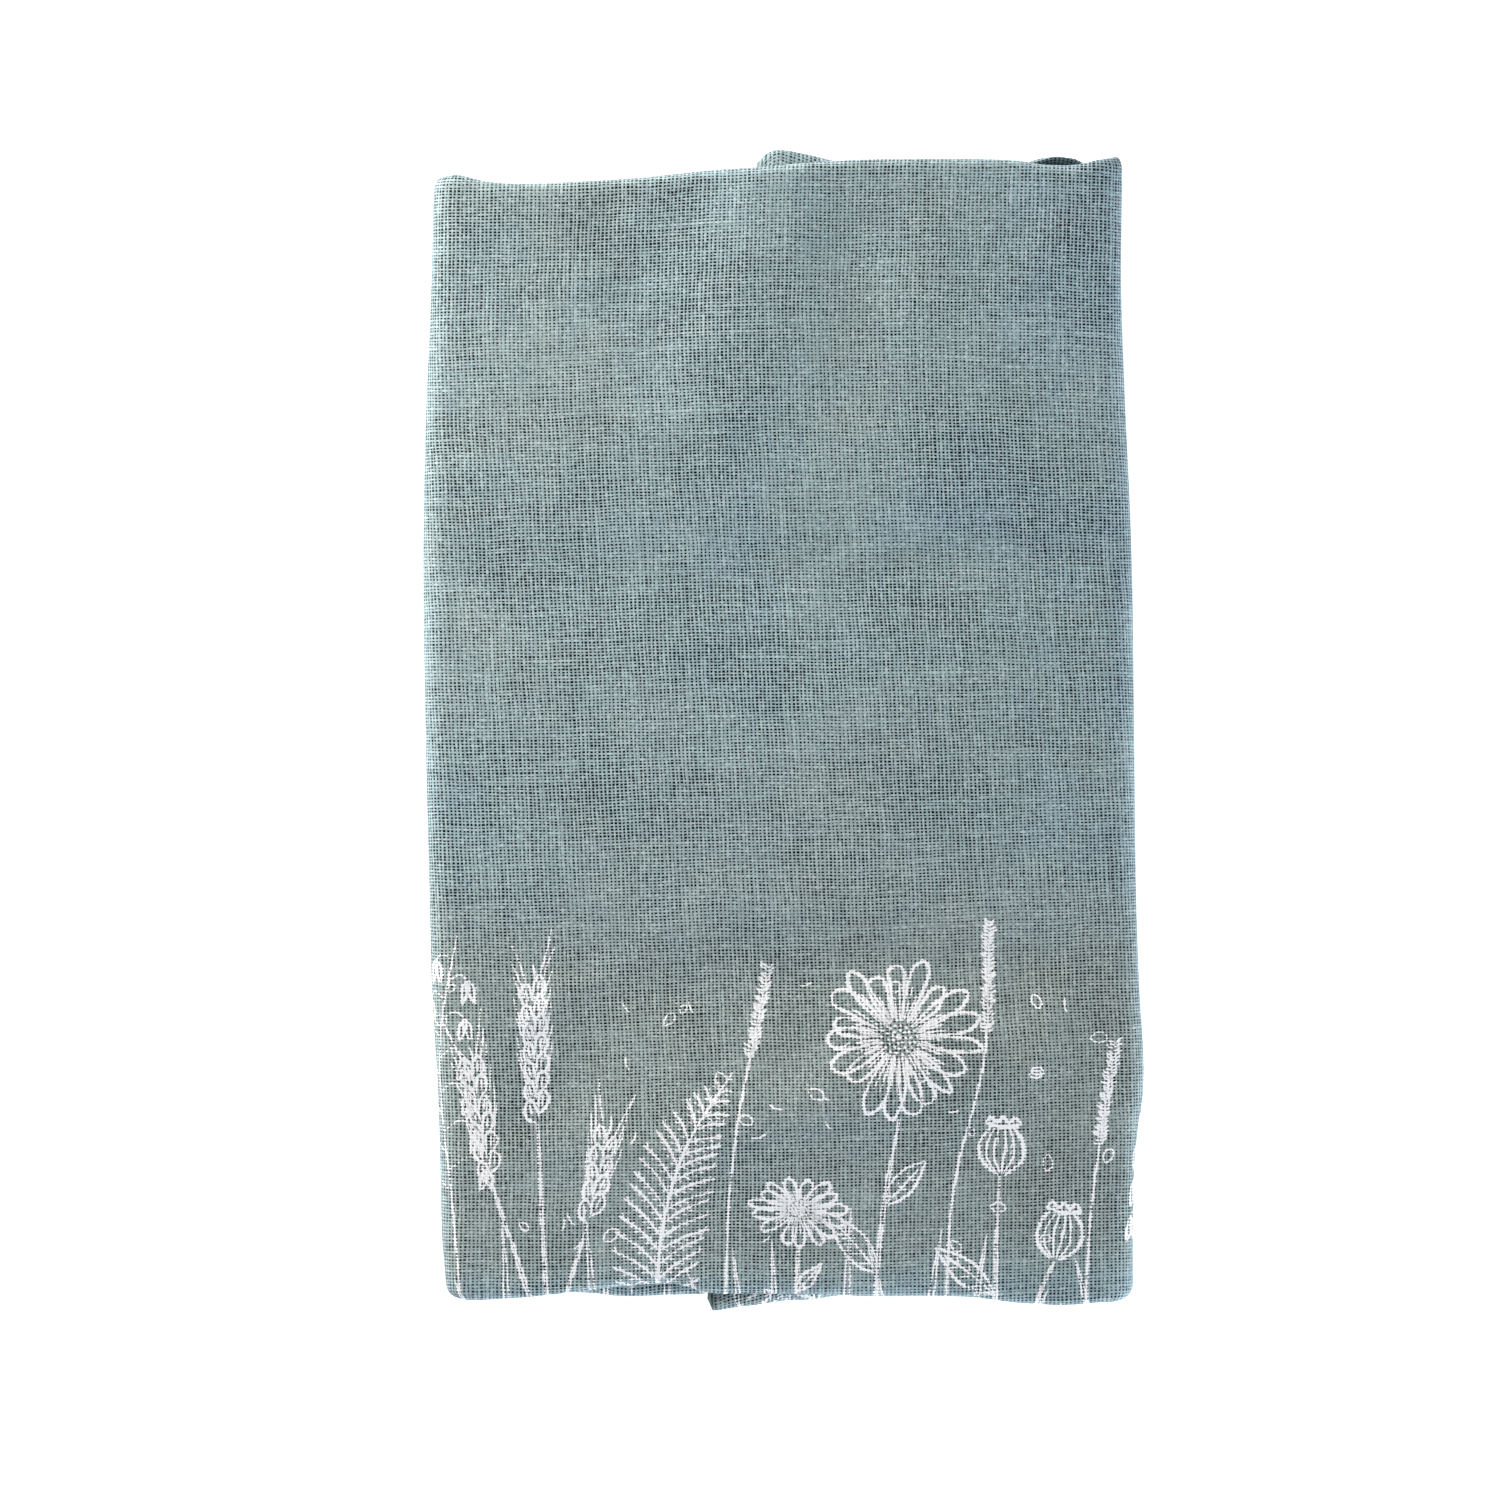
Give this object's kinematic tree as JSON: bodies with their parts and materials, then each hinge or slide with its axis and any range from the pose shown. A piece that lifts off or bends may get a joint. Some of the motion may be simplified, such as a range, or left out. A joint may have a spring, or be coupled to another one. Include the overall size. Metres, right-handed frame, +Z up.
{
  "type": "folded linen bread bag",
  "caption": "Flat cloth bag for bread in slubby plain-woven linen, with both ends and then both sides turned behind into a soft oblong packet.",
  "frame": {"origin": "middle of the packet's box, on the surface that it lies on", "axes": "+Y along the packet's length, towards the end where the bag's mouth turns behind; +X to the right seen from above; +Z up"},
  "size_m": [0.144, 0.2323, 0.014],
  "materials": {
    "printed_linen": "plain-woven blue-grey linen with slubs and an off-white botanical print along its lower part, matt",
    "plain_linen": "the same plain-woven blue-grey linen without print, matt"
  },
  "bodies": {
    "root": {"front_panel": "printed_linen", "back_panel": "plain_linen"}
  },
  "joints": []
}
